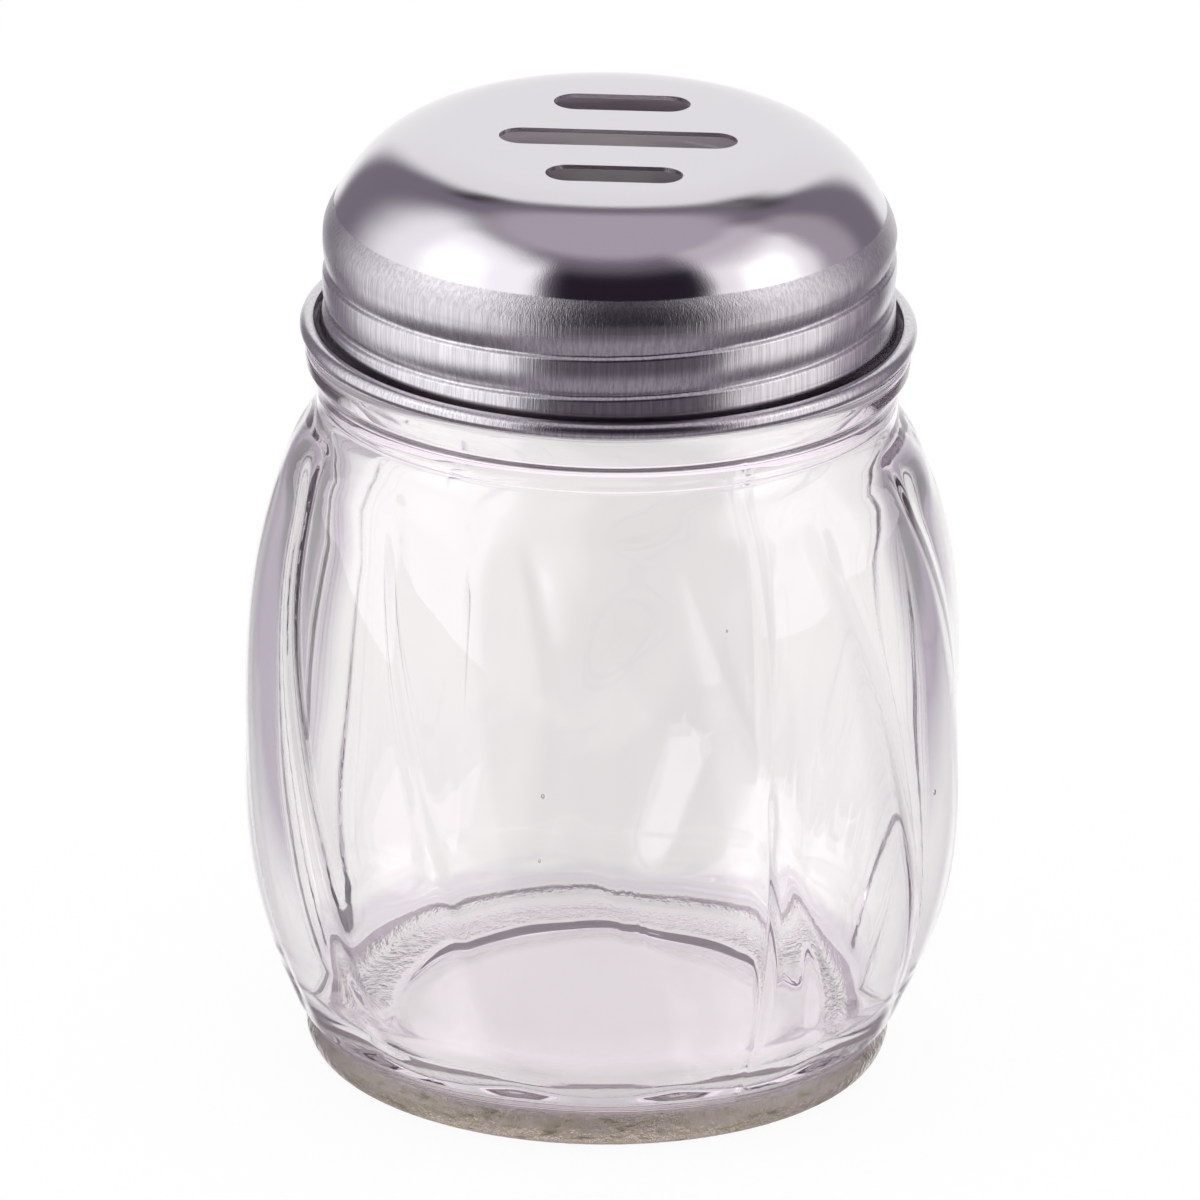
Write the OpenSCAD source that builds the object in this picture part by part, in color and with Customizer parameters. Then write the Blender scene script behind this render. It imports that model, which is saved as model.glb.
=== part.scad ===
// Glass shaker jar with a swirled, fluted body and a slotted steel screw lid.
// Origin: centre of the jar's bearing ring. +Z runs up the axis, and the lid's slots run along X.

/* [Jar body] */
// Diameter over the flutes' crests, at the belly
belly_d = 73.5; // [60:0.5:90]
// Height of the belly's widest circle
belly_z = 34; // [28:0.5:40]
// Height of the neck's narrowest circle
neck_z = 70.5; // [66:0.5:71.5]
// Diameter of the neck's narrowest circle
neck_d = 58.4; // [57:0.2:60]
// How quickly the belly turns in to the shoulder, where 2 is a parabola
shoulder_power = 2.75; // [2:0.05:4]
// How quickly the belly turns in to the foot, where 2 is a parabola
heel_power = 2.6; // [2:0.05:4]
// Thickness of the side wall at the flutes' crests
wall = 2.9; // [2.2:0.1:3.6]

/* [Swirl flutes] */
// Number of flutes round the body
flutes = 12; // [8:1:16]
// Depth of the valley between two flutes
flute_depth = 1.2; // [0.3:0.1:1.6]
// Turn of a valley from the foot to the neck, in degrees
swirl = 35; // [0:1:60]
// Turn of the first valley from the front at the belly, in degrees
flute_phase = 33; // [0:1:60]
// Roundness of a flute, where 1 is a half wave
flute_power = 0.9; // [0.6:0.05:1.4]

/* [Foot] */
// Height of the foot ring
foot_h = 3.9; // [3:0.1:5]
// Diameter of the foot ring
foot_d = 59.4; // [57:0.2:62]
// How far the foot ring's side stands outside the ring that the jar stands on
foot_out = 2.5; // [1.5:0.1:4]
// Width of the ring that the jar stands on
bearing_w = 5.2; // [3:0.1:8]
// Height of the push-up at its centre
push_up_h = 1.2; // [0.4:0.1:2]
// Thickness of the base, from the push-up's top to the edge of the inside floor
base_wall = 4.4; // [3.2:0.1:6]
// Rise of the inside floor from its edge to its centre
floor_rise = 0.8; // [0:0.1:1.5]
// Width of the thick heel, from the foot ring's side to the inside floor
heel_w = 7.7; // [5:0.1:10]
// Height of the rounded corner inside, from the floor to the wall
heel_h = 8; // [5:0.5:12]

/* [Finish] */
// How far the bead under the lid stands out from the neck
bead_out = 1.3; // [0.6:0.1:2]
// Rise from the neck's narrowest circle to the bead's lower edge
bead_rise = 3.9; // [2.5:0.1:5]
// Height of the bead
bead_h = 2.5; // [1.5:0.1:3.5]
// How far the land that the lid goes over stands inside the bead
land_in = 3.05; // [2.6:0.05:3.6]
// Thickness of the glass at the mouth
lip_wall = 2.25; // [2.05:0.05:3]
// Rise of the lip's top into the lid's dome
lip_rise = 3.6; // [1:0.1:4.2]
// Radius of the lip's rounded edges
lip_round = 0.9; // [0.4:0.1:1]

/* [Lid] */
// Gap between the bead and the curled rim
rim_gap = 0.5; // [0.3:0.1:1.5]
// Gap between the land and the grooves inside the lid
land_gap = 0.35; // [0.3:0.05:0.6]
// Height of the skirt, from the curled rim's lowest point to the dome
skirt_h = 9.8; // [9:0.1:13]
// Thickness of the steel sheet
sheet = 0.45; // [0.3:0.05:0.6]
// Diameter of the flat top
flat_d = 32; // [30.8:0.2:40]
// Height of the domed corner between the flat top and the skirt
dome_h = 11.2; // [8:0.2:12]
// Depth of a rolled thread groove
groove_depth = 0.7; // [0.2:0.05:0.8]
// Drop from the dome to the bottom of the upper groove
groove_drop = 1.3; // [1:0.1:2]
// Distance from one groove to the next
groove_pitch = 4.23; // [3.5:0.01:5]
// Number of groove turns that show
groove_count = 2; // [1:1:2]
// How far the curled rim stands out from the skirt
rim_out = 2.15; // [1.8:0.05:3]
// Height of the curled rim
rim_h = 2; // [1.8:0.1:3]

/* [Slots] */
// Distance from the middle slot's ends to the flat top's edge
slot_margin = 4; // [2:0.1:7]
// How much shorter the outer slots are at each end
slot_step = 5.1; // [0:0.1:6]
// Width of each slot
slot_w = 4.7; // [4.4:0.1:5.2]
// Width of the steel between two slots
slot_bridge = 5.8; // [4:0.1:6.2]
// Sideways offset of the punched slots from the lid's axis
slot_shift_x = 0.7; // [-1:0.1:1]
// Offset of the punched slots towards the back
slot_shift_y = -0.8; // [-1:0.1:1]

/* [Hidden] */
$fn = 144;

// Turned profiles: steps in a curve, and the overrun of every cut
arc_steps = 10;
overrun = 1;

// Radii of the jar, from the sizes that carry them
belly_r = belly_d / 2;
neck_r = neck_d / 2;
foot_r = foot_d / 2;
bearing_r = foot_r - foot_out;
push_up_r = bearing_r - bearing_w;
floor_r = foot_r - heel_w;
bead_r = neck_r + bead_out;
land_r = bead_r - land_in;
mouth_r = land_r - lip_wall;

// Radii of the lid: the outside of its skirt, and the sheet's middle line in the skirt and in the rim
skirt_out_r = land_r + land_gap + groove_depth + sheet;
skirt_r = skirt_out_r - sheet / 2;
rim_r = skirt_r + rim_out;
curl_r = (rim_r - skirt_r) / 2;

// Heights, from the foot up to the lid's top
floor_z = push_up_h + base_wall;
bead_z = neck_z + bead_rise;
bead_top = bead_z + bead_h;
rim_z = bead_top + rim_gap;
curl_z = rim_z + sheet / 2 + curl_r;
dome_z = rim_z + skirt_h;
lip_z = dome_z + lip_rise;
height = dome_z + dome_h;

// The fluted body starts inside the foot ring and ends just under the neck
body_sink = 0.6;
neck_lap = 1;
neck_inset = 0.1;
body_bottom = foot_h - body_sink;
body_top = neck_z - neck_lap;
flute_segments = 12;
flute_rings = 22;
flute_end_power = 5;
front_angle = -90;

// The inside wall leaves the body's curve at the shoulder, and meets the mouth's bore at the bead
inner_shoulder_share = 0.78;
inner_shoulder_z = belly_z + inner_shoulder_share * (neck_z - belly_z);

// How far the neck's core reaches down into the fluted body
neck_core = 1.8;

// Shape of the foot ring's side, as shares of its overhang and of its height
heel_out_shares = [0, 0.5, 0.8, 1, 0.94];
heel_up_shares = [0, 0.08, 0.3, 0.72, 1];

// Width of the bevel on the bead's top edge
bead_edge = 0.45;

// Shape of the neck's fillet to the bead, as shares of its overhang and of its height
fillet_out_shares = [0, 0.08, 0.3, 0.75, 1];
fillet_up_shares = [0.2, 0.4, 0.65, 0.9, 1];

// A groove's points, as shares of its depth: height over its bottom's middle, way in, and drop under it
groove_up_shares = [1.5, 0.9, 0.3];
groove_in_shares = [0, 0.45, 1];
groove_down_shares = [0.3, 0.8];

// Slots: lengths, and the distance from one slot's centreline to the next
long_slot = flat_d - 2 * slot_margin;
short_slot = long_slot - 2 * slot_step;
slot_pitch = slot_w + slot_bridge;

// The value that lies the share u of the way from a to b
function mix(a, b, u) = a + (b - a) * u;

// Radius over the flutes' crests at height z
function body_radius(z) = z > belly_z
    ? belly_r - (belly_r - neck_r) * pow((z - belly_z) / (neck_z - belly_z), shoulder_power)
    : belly_r - (belly_r - foot_r) * pow((belly_z - z) / (belly_z - foot_h), heel_power);

// Share of the flutes' depth at height z: full over the body, and none at its ends
function flute_share(z) =
    let (middle = (body_bottom + body_top) / 2, reach = (body_top - body_bottom) / 2)
    1 - pow(abs(z - middle) / reach, flute_end_power);

// Turn of the valleys at height z
function valley_turn(z) = front_angle + flute_phase + swirl * (belly_z - z) / (neck_z - foot_h);

// Radius of the fluted body at height z, for the share u of the way from one valley to the next
function fluted_radius(z, u) =
    body_radius(z) - flute_depth * flute_share(z) * (1 - pow(sin(180 * u), flute_power));

// Height of ring k, with the rings closer together near both ends
function ring_z(k) = mix(body_bottom, body_top, (1 - cos(180 * k / flute_rings)) / 2);

// The swirled body, with one column of points along every valley
module fluted_body() {
    columns = flutes * flute_segments;
    points = [
        for (k = [0 : flute_rings])
            for (i = [0 : columns - 1])
                let (z = ring_z(k), turn = valley_turn(z) + 360 * i / columns)
                let (r = fluted_radius(z, (i % flute_segments) / flute_segments))
                [r * cos(turn), r * sin(turn), z]
    ];
    sides = [
        for (k = [0 : flute_rings - 1])
            for (i = [0 : columns - 1])
                let (a = k * columns + i, b = k * columns + (i + 1) % columns)
                each [[a, a + columns, b], [b, a + columns, b + columns]]
    ];
    bottom = [for (i = [0 : columns - 1]) i];
    top = [for (i = [1 : columns]) len(points) - i];
    polyhedron(points, concat(sides, [bottom], [top]));
}

// The foot ring, with a rounded heel and the push-up under the base
module foot_ring() {
    side = [
        for (k = [0 : len(heel_out_shares) - 1])
            [mix(bearing_r, foot_r, heel_out_shares[k]), foot_h * heel_up_shares[k]]
    ];
    push_up = [
        for (k = [0 : arc_steps])
            let (u = k / arc_steps)
            [push_up_r * u, push_up_h * (1 - u * u)]
    ];
    rotate_extrude() polygon(concat(push_up, side, [[0, foot_h]]));
}

// The neck, its bead, and the land and lip that the lid goes over
module finish() {
    fillet = [
        for (k = [0 : len(fillet_out_shares) - 1])
            [mix(neck_r - neck_inset, bead_r, fillet_out_shares[k]), mix(neck_z, bead_z, fillet_up_shares[k])]
    ];
    lip = [
        for (k = [0 : arc_steps])
            let (turn = 90 * k / arc_steps)
            [land_r - lip_round * (1 - cos(turn)), lip_z - lip_round * (1 - sin(turn))]
    ];
    rotate_extrude() polygon(concat(
        [[0, body_top - neck_core], [neck_r - neck_inset, body_top - neck_core]],
        fillet,
        [[bead_r, bead_top - bead_edge], [bead_r - bead_edge, bead_top], [land_r, bead_top]],
        lip,
        [[0, lip_z]]
    ));
}

// The space inside: a domed floor, a rounded corner, the belly and the mouth
module cavity() {
    corner_z = floor_z + heel_h;
    corner_r = body_radius(corner_z) - wall;
    shoulder_r = body_radius(inner_shoulder_z) - wall;
    floor = [
        for (k = [0 : arc_steps - 1])
            let (u = k / arc_steps)
            [floor_r * u, floor_z + floor_rise * (1 - u * u)]
    ];
    corner = [
        for (k = [0 : arc_steps])
            let (turn = 90 * k / arc_steps)
            [mix(floor_r, corner_r, sin(turn)), mix(floor_z, corner_z, 1 - cos(turn))]
    ];
    side = [
        for (k = [1 : arc_steps])
            let (z = mix(corner_z, inner_shoulder_z, k / arc_steps))
            [body_radius(z) - wall, z]
    ];
    neck = [
        for (k = [1 : arc_steps])
            let (u = k / arc_steps)
            [mix(shoulder_r, mouth_r, (1 - cos(180 * u)) / 2), mix(inner_shoulder_z, bead_z, u)]
    ];
    flare = [
        for (k = [0 : arc_steps])
            let (turn = 90 * k / arc_steps)
            [mouth_r + lip_round * (1 - cos(turn)), lip_z - lip_round * (1 - sin(turn))]
    ];
    rotate_extrude() polygon(concat(
        floor, corner, side, neck, flare,
        [[mouth_r + lip_round, lip_z + overrun], [0, lip_z + overrun]]
    ));
}

module glass_jar() {
    color([0.86, 0.87, 0.9, 0.5])
    difference() {
        union() {
            fluted_body();
            foot_ring();
            finish();
        }
        cavity();
    }
}

// Middle line of the sheet, from the lid's axis over the dome and down to the curled rim's free edge
function lid_line() =
    let (top_z = height - sheet / 2, flat_r = flat_d / 2)
    concat(
        [[0, top_z]],
        [for (k = [0 : 2 * arc_steps])
            let (turn = 90 * k / (2 * arc_steps))
            [mix(flat_r, skirt_r, sin(turn)), mix(top_z, dome_z, 1 - cos(turn))]],
        [for (n = [0 : groove_count - 1]) each groove_line(dome_z - groove_drop - n * groove_pitch)],
        [for (k = [0 : arc_steps])
            let (turn = 180 * k / arc_steps)
            [skirt_r + curl_r * (1 - cos(turn)), curl_z - curl_r * sin(turn)]],
        [[rim_r, rim_z + rim_h]]
    );

// Middle line of one groove, whose bottom's middle is at height z
function groove_line(z) = concat(
    [for (k = [0 : len(groove_up_shares) - 1])
        [skirt_r - groove_depth * groove_in_shares[k], z + groove_depth * groove_up_shares[k]]],
    [[skirt_r - groove_depth, z - groove_depth * groove_down_shares[0]],
     [skirt_r, z - groove_depth * groove_down_shares[1]]]
);

// Unit normal of a line at point k, to the left of the way it runs
function line_normal(line, k) =
    let (a = line[max(k - 1, 0)], b = line[min(k + 1, len(line) - 1)])
    let (run = [b[0] - a[0], b[1] - a[1]])
    [-run[1], run[0]] / norm(run);

// A sheet's outline: the line moved by half the thickness to each side
function sheet_outline(line, thickness) = concat(
    [for (k = [0 : len(line) - 1]) line[k] + line_normal(line, k) * thickness / 2],
    [for (k = [len(line) - 1 : -1 : 0]) line[k] - line_normal(line, k) * thickness / 2]
);

// One round-ended slot, cut through the flat top
module slot_cut(length) {
    reach = (length - slot_w) / 2;
    translate([0, 0, height - sheet - overrun])
    linear_extrude(sheet + 2 * overrun)
    union() {
        square([2 * reach, slot_w], center = true);
        for (side = [-1, 1]) translate([side * reach, 0]) circle(d = slot_w);
    }
}

module slotted_lid() {
    color("silver")
    difference() {
        rotate_extrude() polygon(sheet_outline(lid_line(), sheet));
        translate([slot_shift_x, slot_shift_y, 0]) {
            slot_cut(long_slot);
            for (side = [-1, 1]) translate([0, side * slot_pitch, 0]) slot_cut(short_slot);
        }
    }
}

glass_jar();
slotted_lid();
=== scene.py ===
import math

import bmesh
import bpy
from mathutils import Matrix, Vector
from mathutils.noise import noise


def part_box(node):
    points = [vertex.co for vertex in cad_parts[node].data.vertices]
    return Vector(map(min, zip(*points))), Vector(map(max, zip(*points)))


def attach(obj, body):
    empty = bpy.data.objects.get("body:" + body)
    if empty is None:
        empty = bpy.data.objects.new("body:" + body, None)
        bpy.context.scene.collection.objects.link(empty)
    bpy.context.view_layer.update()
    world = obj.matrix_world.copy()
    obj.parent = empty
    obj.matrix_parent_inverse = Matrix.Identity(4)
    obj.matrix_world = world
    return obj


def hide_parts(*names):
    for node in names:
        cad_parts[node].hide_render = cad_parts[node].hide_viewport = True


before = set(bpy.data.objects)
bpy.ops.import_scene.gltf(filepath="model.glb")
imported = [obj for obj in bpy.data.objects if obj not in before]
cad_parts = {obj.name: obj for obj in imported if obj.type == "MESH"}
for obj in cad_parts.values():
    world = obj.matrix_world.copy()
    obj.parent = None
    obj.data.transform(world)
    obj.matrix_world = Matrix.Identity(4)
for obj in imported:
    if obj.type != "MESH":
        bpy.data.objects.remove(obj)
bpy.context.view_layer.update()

mm = 0.001
mergeWithin = 0.002    # points closer than this become one

# Looks of a glass cheese shaker: a swirled, fluted jar and a slotted steel lid that screws on.
# Lengths of the object are in millimetres up to the moment a point is made, those of the stage in metres.
# Turns are in degrees from the front (-Y) towards +X.


def topOf(node):
    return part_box(node)[1].z / mm


def curveThrough(points, spacing):  # smooth line through a few (radius, height) points
    knots = [Vector(p) for p in points]
    gaps = [(b - a).length for a, b in zip(knots, knots[1:])]
    runs = [(b - a) / gap for a, b, gap in zip(knots, knots[1:], gaps)]
    slopes = [runs[0]]
    for before, after, gapBefore, gapAfter in zip(runs, runs[1:], gaps, gaps[1:]):
        slopes.append((before * gapAfter + after * gapBefore) / (gapBefore + gapAfter))
    slopes.append(runs[-1])
    line = []
    for i, gap in enumerate(gaps):
        steps = max(1, round(gap / spacing))
        for step in range(steps):
            u = step / steps
            ends = knots[i] * (2 * u**3 - 3 * u**2 + 1) + knots[i + 1] * (3 * u**2 - 2 * u**3)
            bends = slopes[i] * (u**3 - 2 * u**2 + u) + slopes[i + 1] * (u**3 - u**2)
            line.append(ends + bends * gap)
    return line + [knots[-1]]


def arcAround(centre, radius, startAngle, endAngle, steps):  # points of a round corner, in (radius, height)
    turns = [math.radians(startAngle + (endAngle - startAngle) * k / steps) for k in range(steps + 1)]
    return [Vector((centre[0] + radius * math.cos(t), centre[1] + radius * math.sin(t))) for t in turns]


def spinOutline(bm, outline, steps, sectors=12):  # one sector is spun, then copied round the axis and joined
    verts = [bm.verts.new((p[0] * mm, 0, p[1] * mm)) for p in outline]
    edges = [bm.edges.new(pair) for pair in zip(verts, verts[1:])]
    bmesh.ops.spin(bm, geom=verts + edges, cent=(0, 0, 0), axis=(0, 0, 1), dvec=(0, 0, 0),
                   angle=math.tau / sectors, steps=steps // sectors, use_merge=False, use_duplicate=False)
    sector = bm.verts[:] + bm.edges[:] + bm.faces[:]
    for k in range(1, sectors):
        copied = bmesh.ops.duplicate(bm, geom=sector)["geom"]
        bmesh.ops.rotate(bm, verts=[v for v in copied if isinstance(v, bmesh.types.BMVert)], cent=(0, 0, 0),
                         matrix=Matrix.Rotation(math.tau * k / sectors, 3, "Z"))
    bmesh.ops.remove_doubles(bm, verts=bm.verts, dist=mergeWithin * mm)


def turnOf(point):  # turn from the front towards +X
    return math.degrees(math.atan2(point.x, -point.y))


def moveRadius(vert, change):  # moves a vertex away from the axis by so many millimetres
    reach = math.hypot(vert.co.x, vert.co.y)
    if reach > mm:
        share = (reach + change * mm) / reach
        vert.co.x *= share
        vert.co.y *= share


def fade(value, start, end):  # 0 at start, 1 at end, smooth between them
    u = min(1, max(0, (value - start) / (end - start)))
    return u * u * (3 - 2 * u)


def meshFrom(bm, name, material):
    mesh = bpy.data.meshes.new(name)
    bm.to_mesh(mesh)
    bm.free()
    mesh.materials.append(material)
    return mesh


def addObject(name, data):
    item = bpy.data.objects.new(name, data)
    bpy.context.scene.collection.objects.link(item)
    return item


def pieceFrom(bm, name, body, slotName, material, *nodes):
    for face in bm.faces:
        face.smooth = True
    piece = addObject(name, meshFrom(bm, name, material))
    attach(piece, body)
    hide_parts(*nodes)
    return piece


# The screw thread that lid and glass share: a right-hand helix, higher towards the right of the front
thread = {
    "lead": 4.23,            # rise of one turn
    "frontHeight": 85.3,     # bottom of the lid's upper groove at the front
    "startTurn": 120,        # where the groove ends at its top
    "endTurn": -470,         # and at its foot, more than a full turn away
    "runOut": 34,            # degrees over which it fades at both ends
    "turnsBack": (0, 1),     # the full turns back at which a place can meet it
}


def grooveHeights(turn):  # heights of the groove at that turn, each with how deep it has become
    found = []
    for back in thread["turnsBack"]:
        along = turn - 360 * back
        into = fade(thread["startTurn"] - along, 0, thread["runOut"])
        outOf = fade(along - thread["endTurn"], 0, thread["runOut"])
        found.append((thread["frontHeight"] + thread["lead"] * along / 360, into * outOf))
    return found


# Glass jar

jar = {
    "steps": 288,
    "bellyRadius": 36.7, "bellyHeight": 34,
    "neckRadius": 29.2, "neckHeight": 70.5, "shoulderPower": 2.75,
    "footRadius": 29.7, "footHeight": 3.9, "heelPower": 2.6,
    "curveTop": 70,          # the body's curve isn't asked for above this
    "fluteTop": 73.9,        # nothing above this belongs to the body
    "bodyFrom": 6.6, "bodyTo": 65.4, "bodySpacing": 0.6,
    "pushUpRadius": 22, "pushUpHeight": 1.2, "pushUpPower": 5, "pushUpSteps": 24,
    "footEnd": 6, "footSpacing": 0.45, "neckSpacing": 0.4, "beadSpacing": 0.35,
    "landRadius": 27.45, "landFrom": 78, "landSpacing": 0.27, "landPoints": 44,
    "lipHeight": 90.8, "lipRound": 0.9, "lipSteps": 6,
    "mouthRadius": 25.2, "boreStraight": (88.5, 82), "boreEnd": 61, "boreSpacing": 1.0,
    "wall": 3.0, "sideTop": 60, "sideSpacing": 1.1, "sidePoints": 42,
    "cornerHeight": 6.6, "cornerSteps": 14,
    "floorRadius": 23.5, "floorHeight": 5.6, "floorRise": 0.8, "floorSteps": 8,
}

jarLines = {                 # (radius, height) points of the smaller curves
    "foot": [(22.6, 0.03), (24.6, 0.01), (26.6, 0.05), (27.9, 0.28), (28.9, 0.95), (29.55, 2.1), (29.7, 3.1),
             (29.45, 4.1), (29.75, 4.9)],
    "neck": [(31.3, 66.2), (30.3, 67.7), (29.55, 69.1), (29.22, 70.5), (29.25, 71.2), (29.36, 71.35),
             (29.3, 71.5), (29.4, 72.3), (29.7, 73.3), (30.15, 74.0)],
    "bead": [(30.42, 74.3), (30.5, 74.9), (30.5, 76.2), (30.35, 76.6), (30.0, 76.85), (29.0, 76.95),
             (28.0, 77.0), (27.6, 77.2), (27.45, 77.7)],
    "bore": [(25.25, 77.5), (25.5, 74), (26.3, 70.5), (27.7, 67), (29.2, 64)],
}

flutes = {
    "count": 12,
    "depth": 1.0,
    "firstValley": 16.9, "atHeight": 65, "turnPerMm": 0.53,
    "lowEnd": 4.4, "highEnd": 68.2, "lowRun": 5.5, "highRun": 8,
    "soften": 0.14,          # how round the bottom of a valley is
    "insideShare": 0.87,     # how much of a valley shows on the inside wall
}

hand = {                     # how far hot glass strays from its mould, each wave with a depth and a length
    "insideWave": (0.09, 7), "insideFrom": 8, "insideTo": 70, "insideSeed": 5,
    "upright": 0.3,          # below 1, the inside waves are drawn out upwards
    "outsideWave": (0.015, 6), "outsideFrom": 8,
    "footWave": (0.03, 1.6), "footFrom": 1,
    "stippleDepth": 0.16, "stippleLength": 0.75, "stippleBelow": 0.6,
    "stippleFrom": 22.2, "stippleFull": 22.8, "stippleTo": 28.4,
}

bubbles = {                  # small ones in the wall
    "segments": (12, 8), "stretch": 1.5,
    "spots": [               # turn, height, depth under the outside, radius
        (-7.6, 40.8, 1.3, 0.17), (-7.9, 33.9, 1.6, 0.13), (71.7, 33, 1.2, 0.22), (24, 57, 1.4, 0.1),
        (-34, 22, 1.5, 0.11),
    ],
}

glassThread = {
    "below": 2.4,            # how far it runs below the lid's groove
    "height": 0.8, "halfWidth": 1.15, "from": 77.6, "under": 0.2,
}

seam = {
    "turns": (30, 210), "height": (0.1, 0.03), "from": 4.5, "to": 73.5,
    "onIt": 0.2, "besideIt": 1.5, "halfWidth": 0.4,    # points beside it move to its half width, in degrees
}


def bodyRadius(z):
    if z > jar["bellyHeight"]:
        share = (z - jar["bellyHeight"]) / (jar["neckHeight"] - jar["bellyHeight"])
        return jar["bellyRadius"] - (jar["bellyRadius"] - jar["neckRadius"]) * share ** jar["shoulderPower"]
    share = (jar["bellyHeight"] - z) / (jar["bellyHeight"] - jar["footHeight"])
    return jar["bellyRadius"] - (jar["bellyRadius"] - jar["footRadius"]) * share ** jar["heelPower"]


def jarOutside():  # from the middle of the push-up, over the foot, body and finish, to the lip
    push = []
    for k in range(jar["pushUpSteps"] + 1):
        rise = 1 - (k / jar["pushUpSteps"]) ** jar["pushUpPower"]
        push.append(Vector((jar["pushUpRadius"] * k / jar["pushUpSteps"], jar["pushUpHeight"] * rise)))
    foot = curveThrough(jarLines["foot"] + [(bodyRadius(jar["footEnd"]), jar["footEnd"])], jar["footSpacing"])
    count = round((jar["bodyTo"] - jar["bodyFrom"]) / jar["bodySpacing"])
    heights = [jar["bodyFrom"] + (jar["bodyTo"] - jar["bodyFrom"]) * k / count for k in range(count + 1)]
    body = [Vector((bodyRadius(z), z)) for z in heights]
    neck = curveThrough(jarLines["neck"], jar["neckSpacing"])
    bead = curveThrough(jarLines["bead"], jar["beadSpacing"])
    heights = [jar["landFrom"] + jar["landSpacing"] * k for k in range(jar["landPoints"])]
    land = [Vector((jar["landRadius"], z)) for z in heights]
    lipCentre = (jar["landRadius"] - jar["lipRound"], jar["lipHeight"] - jar["lipRound"])
    lip = arcAround(lipCentre, jar["lipRound"], 0, 90, jar["lipSteps"])
    return push + foot + body + neck + bead + land + lip


def jarInside():  # from the lip down the bore, the belly's wall and the rounded corner to the floor
    lipCentre = (jar["mouthRadius"] + jar["lipRound"], jar["lipHeight"] - jar["lipRound"])
    lip = arcAround(lipCentre, jar["lipRound"], 90, 180, jar["lipSteps"])
    straight = [(jar["mouthRadius"], z) for z in jar["boreStraight"]]
    boreEnd = [(bodyRadius(jar["boreEnd"]) - jar["wall"], jar["boreEnd"])]
    bore = curveThrough(straight + jarLines["bore"] + boreEnd, jar["boreSpacing"])
    heights = [jar["sideTop"] - jar["sideSpacing"] * k for k in range(jar["sidePoints"])]
    side = [Vector((bodyRadius(z) - jar["wall"], z)) for z in heights]
    cornerTop = jar["floorHeight"] + jar["cornerHeight"]
    cornerRadius = bodyRadius(cornerTop) - jar["wall"]
    corner = []
    for k in range(jar["cornerSteps"] + 1):
        turn = math.radians(90 * (1 - k / jar["cornerSteps"]))
        corner.append(Vector((jar["floorRadius"] + (cornerRadius - jar["floorRadius"]) * math.sin(turn),
                              cornerTop - jar["cornerHeight"] * math.cos(turn))))
    floor = []
    for k in range(1, jar["floorSteps"] + 1):
        share = 1 - k / jar["floorSteps"]
        height = jar["floorHeight"] + jar["floorRise"] * (1 - share**2)
        floor.append(Vector((jar["floorRadius"] * share, height)))
    return lip + bore + side + corner + floor


def valleyDepth(turn, z):  # how deep the flutes' valleys cut at that place, 0 on the crests
    valley = flutes["firstValley"] + flutes["turnPerMm"] * (flutes["atHeight"] - z)
    away = abs(math.sin(math.pi * (turn - valley) * flutes["count"] / 360))
    soft = flutes["soften"]
    lobe = (math.sqrt(away * away + soft * soft) - soft) / (math.sqrt(1 + soft * soft) - soft)
    low = fade(z, flutes["lowEnd"], flutes["lowEnd"] + flutes["lowRun"])
    high = fade(-z, -flutes["highEnd"], flutes["highRun"] - flutes["highEnd"])
    return flutes["depth"] * (1 - lobe) * low * high


def wave(place, amount, seed=0):  # smooth unevenness, with a depth and a length in millimetres
    depth, length = amount
    return depth * noise(place / (length * mm) + Vector((seed, 0, 0)))


def nearSeam(turn):  # turn left to the nearer seam, and that seam's height
    return min((((turn - s + 180) % 360 - 180, high) for s, high in zip(seam["turns"], seam["height"])),
               key=lambda pair: abs(pair[0]))


def shapeOutside(vert, turn, z, place):  # flutes, uneven glass and the mould seam
    moveRadius(vert, -valleyDepth(turn, z))
    if z > hand["outsideFrom"]:
        moveRadius(vert, wave(place, hand["outsideWave"]) - hand["outsideWave"][0])
    elif z > hand["footFrom"]:
        moveRadius(vert, wave(place, hand["footWave"]) - hand["footWave"][0])
    if seam["from"] < z < seam["to"]:
        away, high = nearSeam(turn)
        if abs(away) < seam["onIt"]:
            moveRadius(vert, high)
        elif abs(away) < seam["besideIt"]:
            shift = math.radians(away - math.copysign(seam["halfWidth"], away))
            vert.co.rotate(Matrix.Rotation(-shift, 3, "Z"))


def shapeInside(vert, turn, z, place):
    moveRadius(vert, -flutes["insideShare"] * valleyDepth(turn, z))
    upright = place * Vector((1, 1, hand["upright"]))
    moveRadius(vert, wave(upright, hand["insideWave"], hand["insideSeed"]))


def addBubble(bm, turn, z, under, size):
    reach = bodyRadius(z) - valleyDepth(turn, z) - under
    a = math.radians(turn)
    spot = Matrix.Translation(Vector((reach * math.sin(a), -reach * math.cos(a), z)) * mm)
    around, upwards = bubbles["segments"]
    bubble = bmesh.ops.create_uvsphere(bm, u_segments=around, v_segments=upwards, radius=size * mm,
                                       matrix=spot @ Matrix.Scale(bubbles["stretch"], 4, Vector((0, 0, 1))))
    faces = list({f for v in bubble["verts"] for f in v.link_faces})
    bmesh.ops.reverse_faces(bm, faces=faces)    # they face the hollow


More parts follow.
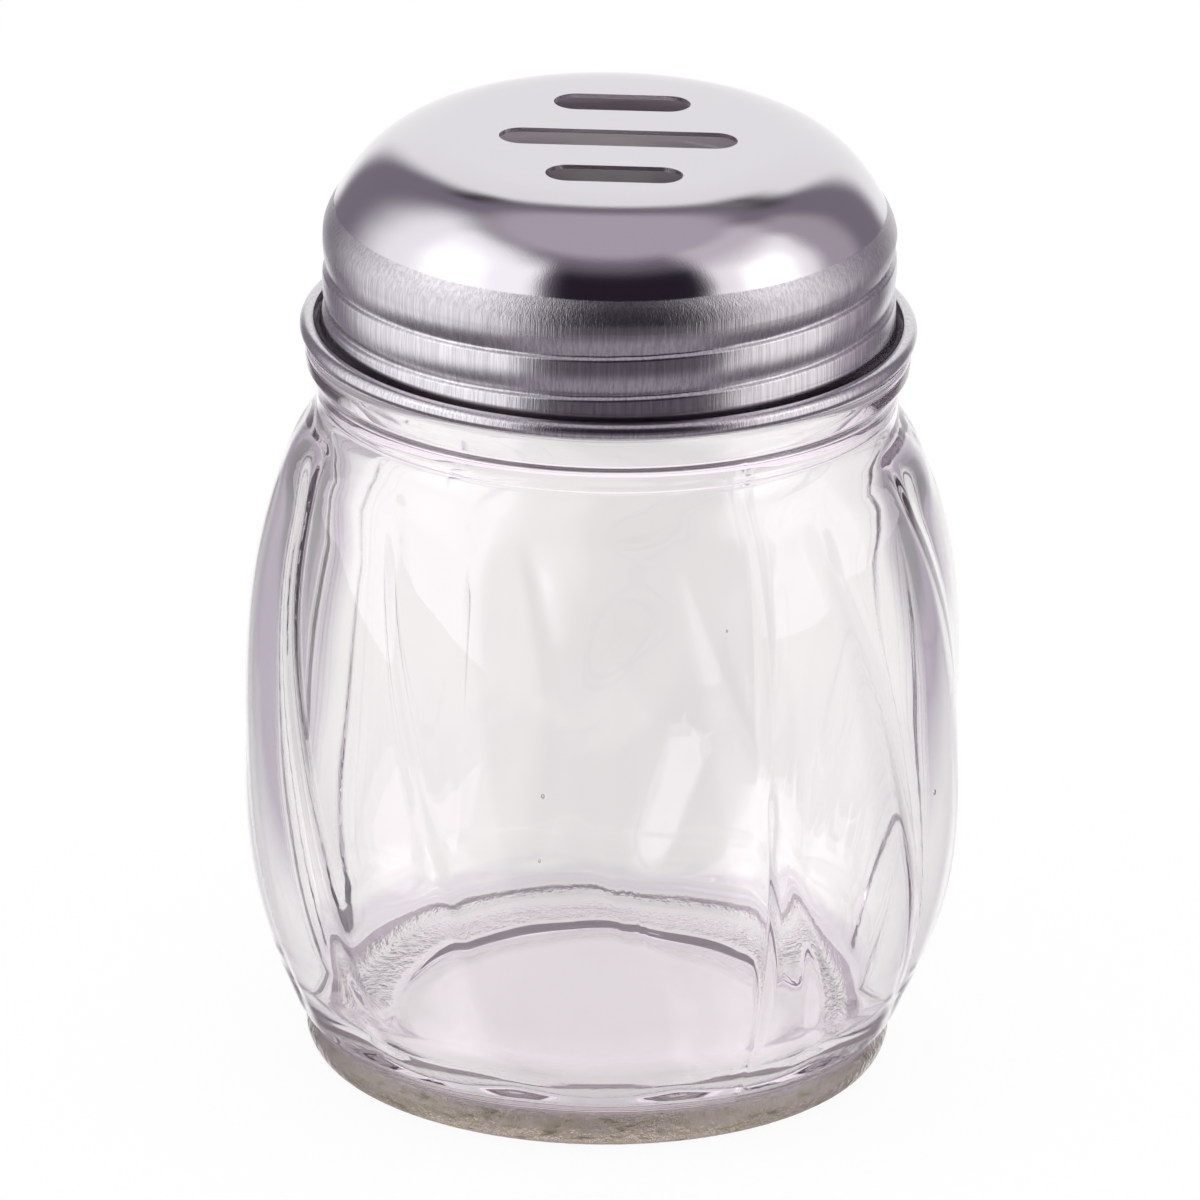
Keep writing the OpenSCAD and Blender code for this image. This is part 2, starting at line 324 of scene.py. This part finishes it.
def buildJar():
    bm = bmesh.new()
    spinOutline(bm, jarOutside() + jarInside(), jar["steps"])
    for vert in bm.verts:
        z, turn, place = vert.co.z / mm, turnOf(vert.co), vert.co.copy()
        radius = math.hypot(vert.co.x, vert.co.y) / mm
        if z < jar["fluteTop"] and radius > bodyRadius(min(z, jar["curveTop"])) - jar["wall"] / 2:
            shapeOutside(vert, turn, z, place)
        elif hand["insideFrom"] < z < hand["insideTo"] and radius > jar["floorRadius"]:
            shapeInside(vert, turn, z, place)
        elif z < hand["stippleBelow"] and hand["stippleFrom"] < radius < hand["stippleTo"]:
            rise = min(1, max(0, 0.5 + wave(place, (0.5, hand["stippleLength"]))))
            full = fade(radius, hand["stippleFrom"], hand["stippleFull"])
            vert.co.z += hand["stippleDepth"] * mm * rise * full
        elif z > glassThread["from"] and radius > jar["landRadius"] - glassThread["under"]:
            for height, full in grooveHeights(turn):
                away = abs(z - (height - glassThread["below"])) / glassThread["halfWidth"]
                if away < 1:
                    moveRadius(vert, glassThread["height"] * full * (1 + math.cos(math.pi * away)) / 2)
    bmesh.ops.recalc_face_normals(bm, faces=bm.faces)
    for spot in bubbles["spots"]:
        addBubble(bm, *spot)
    print("jar:", len(bm.verts), "points,", len(bm.faces), "faces")
    return pieceFrom(bm, "swirled_glass_jar", "jar", "clear_glass", clearGlass(), "glass_jar")


# Steel lid

lid = {
    "steps": 288,
    "sheet": 0.45,
    "top": topOf("slotted_lid"), "flatRadius": 16, "flatWithin": 0.01,
    "domeSpacing": 0.45,
    "skirtRadius": 28.95, "skirtIn": 0.04, "skirtTop": 87.7, "skirtSpacing": 0.1, "skirtPoints": 82,
    "curlSpacing": 0.2,
    "rollCentre": (30.2, 78.05), "rollRadius": 0.9,          # the rim is rolled outwards, up and over
    "rollFrom": -125, "rollTo": 128, "rollSteps": 20, "rollBeyond": 0.06,
    "grooveFoot": 79.2, "grooveTop": 88.2, "grooveWithin": 0.05,
    "grooveDepth": 0.46, "upperFlank": 2.9,                  # rolled in from above over a long flank
    "lowerFlank": 0.4, "lowerPower": 1.4, "bulge": 0.08, "bulgeLength": 1.6,    # and sharply out again
}

lidLines = {                 # (radius, height) points of its curves
    "dome": [(17.6, 98.33), (19.7, 98.0), (22.3, 97.0), (24.4, 95.5), (26.2, 93.5), (27.6, 91.3),
             (28.55, 89.6), (28.88, 88.4), (28.91, 87.8)],
    "curl": [(28.93, 79.45), (28.97, 78.6), (29.15, 78.1), (29.55, 77.77)],
}

slots = {
    "length": (13.8, 24, 13.8),
    "width": 4.7,
    "pitch": 10.5,
    "shift": (0.7, -0.8),    # off the lid's middle
    "endSteps": 14,
}


def lidOutline():  # outside of the sheet, from the flat top's edge over dome and skirt to the rim's free edge
    dome = curveThrough([(lid["flatRadius"], lid["top"])] + lidLines["dome"], lid["domeSpacing"])
    heights = [lid["skirtTop"] - lid["skirtSpacing"] * k for k in range(lid["skirtPoints"])]
    skirt = [Vector((lid["skirtRadius"] - lid["skirtIn"], z)) for z in heights]
    curl = curveThrough(lidLines["curl"], lid["curlSpacing"])
    roll = arcAround(lid["rollCentre"], lid["rollRadius"] - lid["sheet"], lid["rollFrom"], lid["rollTo"],
                     lid["rollSteps"])    # the roll's hollow side
    return dome + skirt + curl + roll


def slotLoop(bm, length, centre, z):  # round-ended slot as a ring of edges
    reach = (length - slots["width"]) / 2
    points = []
    for side in (1, -1):
        for k in range(slots["endSteps"] + 1):
            turn = math.radians(-90 + 180 * k / slots["endSteps"])
            points.append((centre[0] + side * (reach + slots["width"] / 2 * math.cos(turn)),
                           centre[1] + side * slots["width"] / 2 * math.sin(turn)))
    verts = [bm.verts.new((x * mm, y * mm, z * mm)) for x, y in points]
    return [bm.edges.new((a, b)) for a, b in zip(verts, verts[1:] + verts[:1])]


def grooveDepth(above):  # how deep the sheet is rolled in, that far above the groove's bottom
    if above > 0:
        return lid["grooveDepth"] * max(0, 1 - above / lid["upperFlank"]) ** 2
    step = (lid["grooveDepth"] - lid["bulge"]) * max(0, 1 + above / lid["lowerFlank"]) ** lid["lowerPower"]
    return step + lid["bulge"] * max(0, 1 + above / lid["bulgeLength"]) ** 2


def buildLid():
    bm = bmesh.new()
    spinOutline(bm, lidOutline(), lid["steps"])
    for vert in bm.verts:
        z = vert.co.z / mm
        onSkirt = math.hypot(vert.co.x, vert.co.y) < (lid["skirtRadius"] + lid["grooveWithin"]) * mm
        if lid["grooveFoot"] < z < lid["grooveTop"] and onSkirt:
            for height, full in grooveHeights(turnOf(vert.co)):
                moveRadius(vert, -full * grooveDepth(z - height))
    flatFrom = lid["top"] - lid["flatWithin"]
    flatEdge = [e for e in bm.edges if e.is_boundary and all(v.co.z / mm > flatFrom for v in e.verts)]
    holes = []
    for k, length in enumerate(slots["length"]):
        centre = (slots["shift"][0], slots["shift"][1] + (k - 1) * slots["pitch"])
        holes.append(slotLoop(bm, length, centre, lid["top"]))
    ring = [e for loop in holes for e in loop]
    made = bmesh.ops.triangle_fill(bm, edges=flatEdge + ring, use_beauty=True, use_dissolve=False,
                                   normal=(0, 0, 1))
    for edge in ring:
        edge.smooth = False
    bmesh.ops.recalc_face_normals(bm, faces=bm.faces)
    if sum(f.normal.z for f in made["geom"] if isinstance(f, bmesh.types.BMFace)) < 0:
        bmesh.ops.reverse_faces(bm, faces=bm.faces)
    print("lid:", len(bm.verts), "points,", len(bm.faces), "faces")
    piece = pieceFrom(bm, "slotted_steel_lid", "lid", "stainless_steel", lidSteel(), "slotted_lid")
    piece.data.materials.append(lidInside())
    piece.data.materials.append(piece.data.materials[0])
    for face in piece.data.polygons:
        if math.hypot(face.center.x, face.center.y) > (lid["skirtRadius"] + lid["rollBeyond"]) * mm:
            face.material_index = 2    # the rolled rim shows the sheet's other side
    sheet = piece.modifiers.new("sheet", "SOLIDIFY")
    sheet.thickness = lid["sheet"] * mm
    sheet.offset = -1
    sheet.use_even_offset = True
    sheet.material_offset = 1
    return piece


# Materials

def newMaterial(name):
    material = bpy.data.materials.new(name)
    material.use_nodes = True
    nodes = material.node_tree.nodes
    return material, nodes, material.node_tree.links, nodes["Principled BSDF"]


def feedNode(links, sockets, values):  # each input from a socket or a plain value
    for socket, value in zip(sockets, values):
        if isinstance(value, bpy.types.NodeSocket):
            links.new(value, socket)
        else:
            socket.default_value = value


def mathNode(nodes, links, operation, *values):
    node = nodes.new("ShaderNodeMath")
    node.operation = operation
    feedNode(links, node.inputs, values)
    return node.outputs[0]


def product(nodes, links, first, *others):
    for other in others:
        first = mathNode(nodes, links, "MULTIPLY", first, other)
    return first


def vectorNode(nodes, links, operation, *values):
    node = nodes.new("ShaderNodeVectorMath")
    node.operation = operation
    feedNode(links, node.inputs, values)
    return node.outputs[0]


def scaledVector(nodes, links, vector, scale):
    node = nodes.new("ShaderNodeVectorMath")
    node.operation = "SCALE"
    feedNode(links, (node.inputs[0], node.inputs["Scale"]), (vector, scale))
    return node.outputs[0]


def mixColour(nodes, links, share, first, second, blend="MIX"):
    node = nodes.new("ShaderNodeMix")
    node.data_type = "RGBA"
    node.blend_type = blend
    feedNode(links, (node.inputs[0], node.inputs[6], node.inputs[7]), (share, first, second))
    return node.outputs[2]


def mixShader(nodes, links, *values):  # share, first and second shader
    node = nodes.new("ShaderNodeMixShader")
    feedNode(links, node.inputs, values)
    return node.outputs[0]


def mapped(nodes, links, socket, start, end, low=0.0, high=1.0):  # a step, low at start and high at end
    node = nodes.new("ShaderNodeMapRange")
    links.new(socket, node.inputs["Value"])
    for name, value in (("From Min", start), ("From Max", end), ("To Min", low), ("To Max", high)):
        node.inputs[name].default_value = value
    return node.outputs["Result"]


def rampOf(nodes, links, socket, stops):  # colour over a value, from (value, colour) stops
    ramp = nodes.new("ShaderNodeValToRGB")
    links.new(socket, ramp.inputs["Fac"])
    for k, (place, colour) in enumerate(stops):
        stop = ramp.color_ramp.elements[k] if k < 2 else ramp.color_ramp.elements.new(place)
        stop.position = place
        stop.color = (*colour, 1)
    return ramp.outputs["Color"]


def objectPlace(nodes, links):  # Object coordinates, whole and split
    place = nodes.new("ShaderNodeTexCoord").outputs["Object"]
    split = nodes.new("ShaderNodeSeparateXYZ")
    links.new(place, split.inputs[0])
    return place, split


def radiusFrom(nodes, links, split):  # distance from the axis
    around = nodes.new("ShaderNodeCombineXYZ")
    links.new(split.outputs["X"], around.inputs["X"])
    links.new(split.outputs["Y"], around.inputs["Y"])
    length = nodes.new("ShaderNodeVectorMath")
    length.operation = "LENGTH"
    links.new(around.outputs[0], length.inputs[0])
    return length.outputs["Value"]


def noiseOn(nodes, links, place, scales, detail, roughness):  # noise stretched by the scales
    stretch = nodes.new("ShaderNodeMapping")
    stretch.inputs["Scale"].default_value = scales
    links.new(place, stretch.inputs["Vector"])
    node = nodes.new("ShaderNodeTexNoise")
    node.inputs["Scale"].default_value = 1
    node.inputs["Detail"].default_value = detail
    node.inputs["Roughness"].default_value = roughness
    links.new(stretch.outputs["Vector"], node.inputs["Vector"])
    return node.outputs["Fac"]


def bumpFrom(nodes, links, height, depth, strength, before=None):  # a bump, on top of the one before
    bump = nodes.new("ShaderNodeBump")
    bump.inputs["Distance"].default_value = depth * mm
    links.new(strength, bump.inputs["Strength"])
    links.new(height, bump.inputs["Height"])
    if before:
        links.new(before, bump.inputs["Normal"])
    return bump.outputs["Normal"]


glass = {
    "ior": 1.5,
    "body": (1, 0.995, 0.99, 1),
    "absorbed": (0.735, 0.695, 0.74, 1), "density": 38,    # the cast of thick glass
    "shadow": (0.985, 0.98, 0.988, 1),                     # what passes towards a lamp
    "footTop": 4.4, "footSoft": 0.8,                       # the foot's own looks end at this height
    "sideFrom": 28.2, "grainFrom": 22.3, "edge": 0.5,      # its specks and its grain start at these radii
    "straight": 1.5,                                       # no specks where more surfaces lie before them
    "speckle": (420, 420, 1500), "speckleNoise": (4, 0.65),
    "specks": [(0.36, (0.24, 0.22, 0.11)), (0.43, (0.76, 0.78, 0.44)), (0.48, (0.98, 1, 0.62)),
               (0.6, (1, 1, 0.76))],
    "grain": (900, 900, 900), "grainNoise": (3, 0.6), "grainDepth": 0.35,    # fine mould texture
}


def clearGlass():
    material, nodes, links, shader = newMaterial("clearGlass")
    shader.inputs["Roughness"].default_value = 0.0
    shader.inputs["IOR"].default_value = glass["ior"]
    shader.inputs["Transmission Weight"].default_value = 1
    place, split = objectPlace(nodes, links)
    rays = nodes.new("ShaderNodeLightPath")
    reach = radiusFrom(nodes, links, split)
    footFrom = (glass["footTop"] - glass["footSoft"]) * mm
    low = mapped(nodes, links, split.outputs["Z"], glass["footTop"] * mm, footFrom)
    side = mapped(nodes, links, reach, glass["sideFrom"] * mm, (glass["sideFrom"] + glass["edge"]) * mm)
    outside = mapped(nodes, links, reach, glass["grainFrom"] * mm, (glass["grainFrom"] + glass["edge"]) * mm)
    straight = mathNode(nodes, links, "LESS_THAN", rays.outputs["Transmission Depth"], glass["straight"])
    speckle = noiseOn(nodes, links, place, glass["speckle"], *glass["speckleNoise"])
    colour = mixColour(nodes, links, product(nodes, links, low, side, straight), glass["body"],
                       rampOf(nodes, links, speckle, glass["specks"]))
    links.new(colour, shader.inputs["Base Color"])
    grain = noiseOn(nodes, links, place, glass["grain"], *glass["grainNoise"])
    bump = bumpFrom(nodes, links, grain, glass["grainDepth"], product(nodes, links, low, outside))
    links.new(bump, shader.inputs["Normal"])
    clear = nodes.new("ShaderNodeBsdfTransparent")
    clear.inputs["Color"].default_value = glass["shadow"]
    surface = mixShader(nodes, links, rays.outputs["Is Shadow Ray"], shader.outputs["BSDF"],
                        clear.outputs["BSDF"])
    links.new(surface, nodes["Material Output"].inputs["Surface"])
    tint = nodes.new("ShaderNodeVolumeAbsorption")
    tint.inputs["Color"].default_value = glass["absorbed"]
    tint.inputs["Density"].default_value = glass["density"]
    links.new(tint.outputs["Volume"], nodes["Material Output"].inputs["Volume"])
    return material


steel = {
    "colour": (0.66, 0.64, 0.67, 1),
    "polished": 0.085, "brushed": 0.22, "brushedBelow": 91.0, "edge": 0.08,    # roughness above and below
    "bandFrom": 87.4, "bandSoft": 0.6, "bandTone": 0.9, "bandRough": 0.07,     # satin band above the grooves
    "polishedBump": 0.1, "belowBand": 0.4,                 # strength of the brushing above and below the band
    "streaks": [((7000, 7000, 110), 0.03), ((1600, 1600, 35), 0.02)],          # scales and depth
    "streakNoise": (2, 0.6),
    "streakTone": (3400, 3400, 90), "toneNoise": (2, 0.7), "toneFrom": 0.36, "toneTo": 0.64,
    "tones": (0.8, 1.06),
    "channelShade": (0.32, 0.28, 0.32, 1),                      # painted shade for the gap between the skirt and the rolled rim
    "channelOut": 29.5, "channelEdge": 0.05, "channelIn": (28.5, 28.9),
    "channelTop": 79.2, "channelSoft": 0.3, "channelFoot": (77.7, 77.8),
    "inside": (0.5, 0.46, 0.5, 1), "insideRoughness": 0.45,
}


def channelShadeMask(nodes, links, split):  # 1 on the sheet in the gap behind the rolled rim, where shade is painted
    reach, height = radiusFrom(nodes, links, split), split.outputs["Z"]
    out, edge = steel["channelOut"], steel["channelEdge"]
    top, soft = steel["channelTop"], steel["channelSoft"]
    return product(nodes, links,
                   mapped(nodes, links, reach, (out + edge) * mm, out * mm),
                   mapped(nodes, links, height, (top + soft) * mm, (top - soft) * mm),
                   mapped(nodes, links, reach, *(radius * mm for radius in steel["channelIn"])),
                   mapped(nodes, links, height, *(z * mm for z in steel["channelFoot"])))


def lidSteel():
    material, nodes, links, shader = newMaterial("lidSteel")
    shader.inputs["Base Color"].default_value = steel["colour"]
    shader.inputs["Metallic"].default_value = 1
    place, split = objectPlace(nodes, links)
    height = split.outputs["Z"]
    below, edge = steel["brushedBelow"], steel["edge"]
    brushed = mapped(nodes, links, height, (below + edge) * mm, (below - edge) * mm)
    bandFrom = steel["bandFrom"]
    band = mapped(nodes, links, height, (bandFrom - steel["bandSoft"]) * mm, bandFrom * mm,
                  steel["belowBand"], 1)
    satin = product(nodes, links, brushed, mapped(nodes, links, band, steel["belowBand"], 1))
    rough = mapped(nodes, links, brushed, 0, 1, steel["polished"], steel["brushed"])
    rough = mathNode(nodes, links, "ADD", rough, product(nodes, links, satin, steel["bandRough"]))
    links.new(rough, shader.inputs["Roughness"])
    strength = product(nodes, links, band, mapped(nodes, links, brushed, 0, 1, steel["polishedBump"], 1))
    normal = None
    for scales, depth in steel["streaks"]:
        streak = noiseOn(nodes, links, place, scales, *steel["streakNoise"])
        normal = bumpFrom(nodes, links, streak, depth, strength, normal)
    links.new(normal, shader.inputs["Normal"])

    tone = mapped(nodes, links, noiseOn(nodes, links, place, steel["streakTone"], *steel["toneNoise"]),
                  steel["toneFrom"], steel["toneTo"], *steel["tones"])
    tone = product(nodes, links, brushed, mathNode(nodes, links, "SUBTRACT", tone, 1.0))
    tone = mathNode(nodes, links, "ADD", tone, 1.0)
    tone = product(nodes, links, tone, mapped(nodes, links, satin, 0, 1, 1, steel["bandTone"]))
    streaky = scaledVector(nodes, links, steel["colour"][:3], tone)
    # painted shade: the gap behind the rolled rim is darkened in the base colour
    colour = mixColour(nodes, links, channelShadeMask(nodes, links, split), streaky, steel["channelShade"])
    links.new(colour, shader.inputs["Base Color"])
    return material


def lidInside():
    material, nodes, links, shader = newMaterial("lidInside")
    shader.inputs["Base Color"].default_value = steel["inside"]
    shader.inputs["Metallic"].default_value = 1
    shader.inputs["Roughness"].default_value = steel["insideRoughness"]
    return material


# Stage

studio = {
    "bounces": 32,           # light turns many times inside a thick wall
    "worldStrength": 0.9,
    "floorSize": 12, "floorColour": (0.9, 0.9, 0.9, 1), "floorRoughness": 0.9, "floorShine": 0.1,
    "whiteShare": 0.9,       # how far the camera sees plain white instead of the floor's shading
    "paleShare": 0.75,       # how far the floor shows its painted light and shade below where it is seen through the glass
    "span": 300,             # the painted light and shade below are given by place in millimetres, along X and by distance from the axis
    # painted shade along X: dark bands towards both sides, a light middle dipping a little at the centre
    "shadeAlongX": [(-210, (0.1, 0.08, 0.1)), (-165, (0.31, 0.25, 0.345)), (-92, (0.31, 0.25, 0.345)),
               (-58, (0.92, 0.905, 0.9)), (-15, (0.95, 0.93, 0.925)), (-7, (0.82, 0.8, 0.8)),
               (9, (0.82, 0.8, 0.8)), (17, (0.97, 0.95, 0.945)), (70, (0.94, 0.925, 0.92)),
               (120, (0.31, 0.25, 0.345)), (165, (0.31, 0.25, 0.345)), (210, (0.1, 0.08, 0.1))],
    # painted shadow: a mauve ring round the foot
    "round": [(30, (1, 1, 1)), (35, (0.84, 0.8, 0.87)), (41, (0.84, 0.8, 0.87)), (46, (1, 1, 1))],
}

# What the steel and the glass see round them: soft-edged patches on a dome, each over the ones before.
# A patch has its middle (turn, rise), its reach and its softness in both directions, and its colour.
dome = {
    "radius": 1.6, "segments": (96, 48),
    "base": (0.24, 0.21, 0.255),
    "patches": {
        "roof": ((0, 90), (181, 27), (1, 6), (0.55, 0.49, 0.565)),
        "floor": ((0, -90), (181, 66), (1, 8), (0.34, 0.305, 0.35)),
        "roofRightEnd": ((78, 52), (34, 12), (14, 5), (0.72, 0.66, 0.73)),
        "backdrop": ((177, 10), (27, 42), (8, 5), (1.05, 1.04, 1.05)),
        "darkCornerLeft": ((-153, 51), (8, 3), (6, 5), (0.05, 0.04, 0.05)),
        "darkCornerRight": ((151, 50), (14, 4), (9, 6), (0.1, 0.085, 0.1)),
        "leftSoftbox": ((-84, 14), (34, 43), (20, 12), (1.2, 1.17, 1.21)),
        "leftNearEdge": ((-62, 14), (30, 40), (8, 10), (1.36, 1.33, 1.36)),
        "leftMiddle": ((-72, 34), (11, 9), (12, 10), (2.1, 2.05, 2.1)),
        "rightFarSide": ((112, 15), (12, 36), (7, 6), (0.48, 0.43, 0.49)),
        "rightSoftbox": ((76, 10), (26, 38), (7, 9), (1.2, 1.15, 1.17)),
        "rightMiddle": ((78, 33), (12, 7), (9, 8), (2.0, 1.95, 2.0)),
        "floorBelow": ((0, -90), (181, 60), (1, 5), (0.2, 0.175, 0.205)),
        "cameraSide": ((11, 16), (37, 38), (9, 10), (0.025, 0.018, 0.03)),
        "cameraSideLow": ((11, -14), (37, 15), (10, 8), (0.13, 0.11, 0.135)),
        "cameraFloor": ((5, -50), (48, 21), (14, 7), (0.36, 0.325, 0.37)),
    },
    "paleColour": (1, 0.97, 1, 1), "throughGlass": 0.34,    # seen through glass, the patches pale towards it
    "inGlass": {                                            # patches only for rays that come through glass
        "floorBehind": ((180, -50), (95, 32), (15, 5), (0.85, 0.84, 0.83)),
    },
    "gain": 5,               # softboxes are stronger than steel can show, so the glass gets more of them
}

lamps = [
    {"name": "leftLamp", "turn": -70, "rise": 33, "distance": 0.9, "size": 0.45, "power": 2.2},
    {"name": "rightLamp", "turn": 88, "rise": 28, "distance": 0.9, "size": 0.4, "power": 2.2},
]
lampTarget = (0, 0, 0.05)

camera = {
    "target": (-0.401, 0, 48.33),  # the point at the middle of the frame, in millimetres, before the turn
    "distance": 2000,
    "elevation": 21.3,
    "turn": 1.9,
    "roll": 0.948,
    "lens": 592.6, "sensor": 36, "clip": (0.1, 30),
}


def lookAt(turn, rise, distance, target):  # a place round the jar, looking at the target
    a, e = math.radians(turn), math.radians(rise)
    back = Vector((math.sin(a) * math.cos(e), -math.cos(a) * math.cos(e), math.sin(e)))
    place = Matrix.Translation(target + back * distance)
    return place @ (-back).to_track_quat("-Z", "Y").to_matrix().to_4x4()


def patchMask(nodes, links, angle, middle, reach, soft):  # 1 within reach of the middle, 0 outside
    away = mathNode(nodes, links, "SUBTRACT", angle, middle)
    away = mathNode(nodes, links, "ABSOLUTE", mathNode(nodes, links, "WRAP", away, 180.0, -180.0))
    edge = nodes.new("ShaderNodeMapRange")
    edge.interpolation_type = "SMOOTHERSTEP"
    links.new(away, edge.inputs["Value"])
    edge.inputs["From Min"].default_value = reach + soft
    edge.inputs["From Max"].default_value = reach - soft
    return edge.outputs["Result"]


def paintPatch(nodes, links, angles, patch, under, share=None):  # one patch over the colours so far
    middle, reach, soft, colour = patch
    masks = [patchMask(nodes, links, *part) for part in zip(angles, middle, reach, soft)]
    if share:
        masks.append(share)
    return mixColour(nodes, links, product(nodes, links, *masks), under, (*colour, 1))


def rampAlong(nodes, links, socket, stops):  # colour over a length, from stops in millimetres
    span = studio["span"]
    share = mapped(nodes, links, socket, -span * mm, span * mm)
    return rampOf(nodes, links, share, [(place / span / 2 + 0.5, colour) for place, colour in stops])


def domeGlow():
    material, nodes, links, shader = newMaterial("domeGlow")
    nodes.remove(shader)
    x, y, z = objectPlace(nodes, links)[1].outputs
    turn = mathNode(nodes, links, "ARCTAN2", x, product(nodes, links, y, -1.0))
    rise = mathNode(nodes, links, "ARCSINE", mathNode(nodes, links, "DIVIDE", z, dome["radius"]))
    angles = [mathNode(nodes, links, "DEGREES", angle) for angle in (turn, rise)]
    colour = (*dome["base"], 1)
    for patch in dome["patches"].values():
        colour = paintPatch(nodes, links, angles, patch, colour)
    rays = nodes.new("ShaderNodeLightPath")
    pale = product(nodes, links, rays.outputs["Is Transmission Ray"], dome["throughGlass"])
    colour = mixColour(nodes, links, pale, colour, dome["paleColour"])
    inGlass = mathNode(nodes, links, "GREATER_THAN", rays.outputs["Transmission Depth"], 0.5)
    for patch in dome["inGlass"].values():
        colour = paintPatch(nodes, links, angles, patch, colour, inGlass)
    strong = vectorNode(nodes, links, "SUBTRACT", colour, (1, 1, 1))
    strong = vectorNode(nodes, links, "MAXIMUM", strong, (0, 0, 0))
    strong = scaledVector(nodes, links, strong, product(nodes, links, inGlass, dome["gain"]))
    glow = nodes.new("ShaderNodeEmission")
    links.new(vectorNode(nodes, links, "ADD", colour, strong), glow.inputs["Color"])
    links.new(glow.outputs["Emission"], nodes["Material Output"].inputs["Surface"])
    return material


def floorPaper():
    material, nodes, links, shader = newMaterial("floorPaper")
    shader.inputs["Base Color"].default_value = studio["floorColour"]
    shader.inputs["Roughness"].default_value = studio["floorRoughness"]
    shader.inputs["Specular IOR Level"].default_value = studio["floorShine"]
    rays = nodes.new("ShaderNodeLightPath")
    glow = nodes.new("ShaderNodeEmission")
    white = nodes.new("ShaderNodeEmission")
    split = objectPlace(nodes, links)[1]
    # painted light and shade on the floor, shown only to rays that come through the glass
    shadeAlongX = rampAlong(nodes, links, split.outputs["X"], studio["shadeAlongX"])
    around = rampAlong(nodes, links, radiusFrom(nodes, links, split), studio["round"])
    links.new(mixColour(nodes, links, 1, shadeAlongX, around, "MULTIPLY"), glow.inputs["Color"])
    inGlass = product(nodes, links, rays.outputs["Is Transmission Ray"], studio["paleShare"])
    seen = product(nodes, links, rays.outputs["Is Camera Ray"], studio["whiteShare"])
    surface = mixShader(nodes, links, inGlass, shader.outputs["BSDF"], glow.outputs["Emission"])
    surface = mixShader(nodes, links, seen, surface, white.outputs["Emission"])
    links.new(surface, nodes["Material Output"].inputs["Surface"])
    return material


def buildStage():
    bm = bmesh.new()
    bmesh.ops.create_grid(bm, x_segments=1, y_segments=1, size=studio["floorSize"] / 2)
    floor = addObject("floor", meshFrom(bm, "floor", floorPaper()))
    floor.visible_glossy = False

    bm = bmesh.new()
    around, upwards = dome["segments"]
    bmesh.ops.create_uvsphere(bm, u_segments=around, v_segments=upwards, radius=dome["radius"])
    shell = addObject("dome", meshFrom(bm, "dome", domeGlow()))
    shell.visible_camera = False
    shell.visible_diffuse = False
    shell.visible_shadow = False

    for lamp in lamps:
        data = bpy.data.lights.new(lamp["name"], "AREA")
        data.size = lamp["size"]
        data.energy = lamp["power"]
        holder = addObject(lamp["name"], data)
        holder.matrix_world = lookAt(lamp["turn"], lamp["rise"], lamp["distance"], Vector(lampTarget))
        holder.visible_glossy = False
        holder.visible_transmission = False
    print("stage: floor, dome with", len(dome["patches"]), "patches,", len(lamps), "lamps")


def buildWorld():  # white where it is seen, a little dimmer where it lights
    world = bpy.data.worlds.new("studio")
    bpy.context.scene.world = world
    world.use_nodes = True
    nodes, links = world.node_tree.nodes, world.node_tree.links
    light, white = nodes["Background"], nodes.new("ShaderNodeBackground")
    for background, strength in ((light, studio["worldStrength"]), (white, 1)):
        background.inputs["Color"].default_value = (1, 1, 1, 1)
        background.inputs["Strength"].default_value = strength
    rays = nodes.new("ShaderNodeLightPath")
    seen = mathNode(nodes, links, "MAXIMUM", rays.outputs["Is Camera Ray"], rays.outputs["Is Glossy Ray"])
    seen = mathNode(nodes, links, "MAXIMUM", seen, rays.outputs["Is Transmission Ray"])
    surface = mixShader(nodes, links, seen, light.outputs[0], white.outputs[0])
    links.new(surface, nodes["World Output"].inputs["Surface"])


def buildCamera():
    e, roll = math.radians(camera["elevation"]), math.radians(camera["roll"])
    forward = Vector((0, math.cos(e), -math.sin(e)))
    up = Vector((0, math.sin(e), math.cos(e)))
    right = Vector((1, 0, 0)) * math.cos(roll) + up * math.sin(roll)
    up = up * math.cos(roll) - Vector((1, 0, 0)) * math.sin(roll)
    facing = Matrix((right, up, -forward)).transposed().to_4x4()
    place = Vector(camera["target"]) * mm - forward * camera["distance"] * mm
    data = bpy.data.cameras.new("camera")
    data.lens = camera["lens"]
    data.sensor_width = camera["sensor"]
    data.clip_start, data.clip_end = camera["clip"]
    holder = addObject("camera", data)
    turned = Matrix.Rotation(math.radians(camera["turn"]), 4, "Z")
    holder.matrix_world = turned @ Matrix.Translation(place) @ facing
    bpy.context.scene.camera = holder


buildCamera()
buildStage()
buildWorld()
buildJar()
buildLid()

bpy.context.scene.view_settings.view_transform = "Standard"
cycles = bpy.context.scene.cycles
cycles.max_bounces = cycles.transmission_bounces = cycles.glossy_bounces = studio["bounces"]
